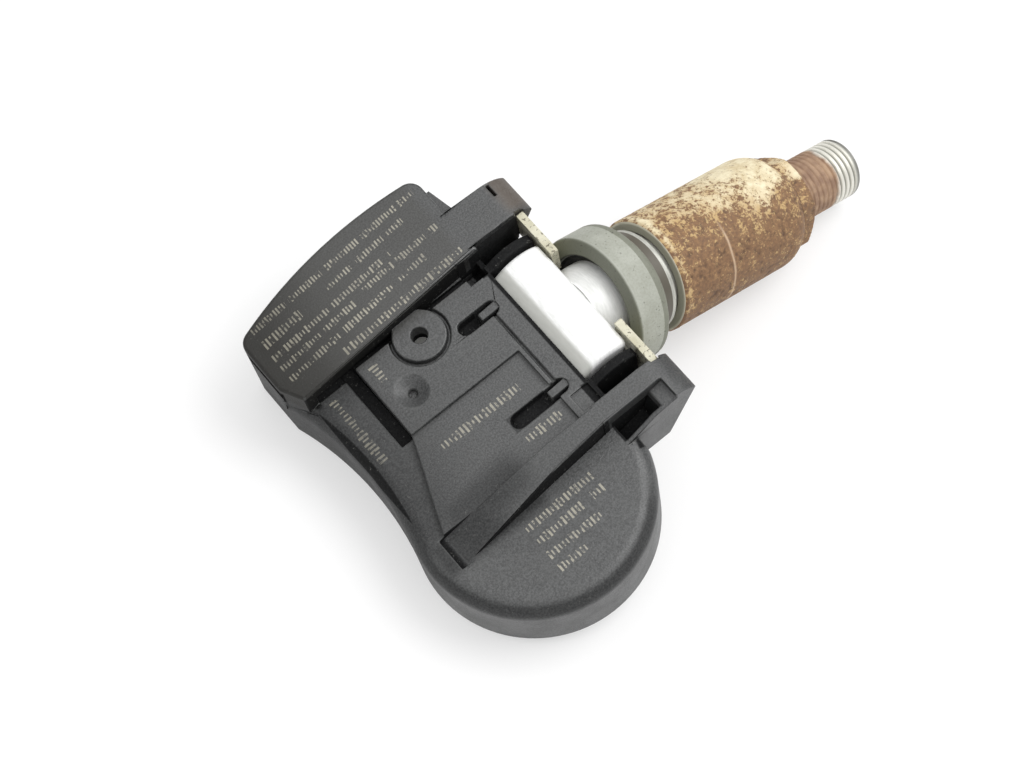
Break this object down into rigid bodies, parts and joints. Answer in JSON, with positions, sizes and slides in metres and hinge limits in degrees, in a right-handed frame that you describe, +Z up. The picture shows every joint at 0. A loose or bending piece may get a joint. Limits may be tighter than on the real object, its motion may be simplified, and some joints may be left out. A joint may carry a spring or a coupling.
{
  "type": "tyre pressure sensor",
  "caption": "Used tyre pressure sensor: black moulded housing with a round battery lobe, and a swivelling clamp-in metal valve with grey seal and a long rusty sleeve nut.",
  "frame": {"origin": "on the table, under the middle of the whole sensor's box", "axes": "+Z up from the table, +X from the tail of the housing to the tip of the valve, +Y to the label block"},
  "size_m": [0.0775, 0.0526, 0.0209],
  "materials": {
    "housing": "fine-grained black glass-filled moulding, edges a little worn",
    "cover": "plain black moulding",
    "bracket": "pale gold plated sheet, speckled",
    "valve": "satin, dull where it was gripped, brown grime in the outer thread",
    "seal": "grey-green, chalky on the rim",
    "ring": "bright turned",
    "nut": "rusted and pitted, a pale coating flaking off",
    "core_brass": "turned",
    "core_gasket": "black",
    "core_pin": "drawn wire, worn tip",
    "spring_wire": "drawn wire",
    "board": "green lacquered board",
    "cell": "bare can",
    "tab": "bare strip",
    "chip": "black package",
    "filter": "white breather felt",
    "capacitor": "tan body",
    "ferrite": "dark grey pressed",
    "copper_wire": "lacquered copper wire"
  },
  "bodies": {
    "valve": {"valve_stem": "valve", "rubber_seal": "seal", "thrust_ring": "ring", "sleeve_nut": "nut", "valve_core_body": "core_brass", "valve_core_gasket": "core_gasket", "valve_core_spring": "spring_wire"},
    "housing": {"housing_shell": "housing", "bottom_cover": "cover", "retaining_bracket": "bracket", "circuit_board": "board", "coin_cell": "cell", "cell_tab_positive": "tab", "cell_tab_negative": "tab", "pressure_chip": "chip", "port_seal": "core_gasket", "port_filter": "filter", "processor_chip": "chip", "quartz_crystal": "tab", "capacitors": "capacitor", "coil_ferrite": "ferrite", "coil_winding": "copper_wire", "aerial_strip": "tab"},
    "core_pin": {"valve_core_pin": "core_pin", "valve_core_cup": "core_gasket"}
  },
  "joints": [
    {"name": "housing_swivel", "type": "hinge", "parent": "valve", "child": "housing", "pos_m": [-0.00754, 0.00245, 0.01344], "axis": [0, 1, 0], "range_deg": [-2, 23]},
    {"name": "core_pin_press", "type": "slide", "parent": "valve", "child": "core_pin", "axis": [-0.9802, 0, 0.198], "range_m": [0, 0.0012], "stiffness_N_per_m": 600, "springref_m": -0.0015, "deforming": ["valve_core_spring"]}
  ]
}
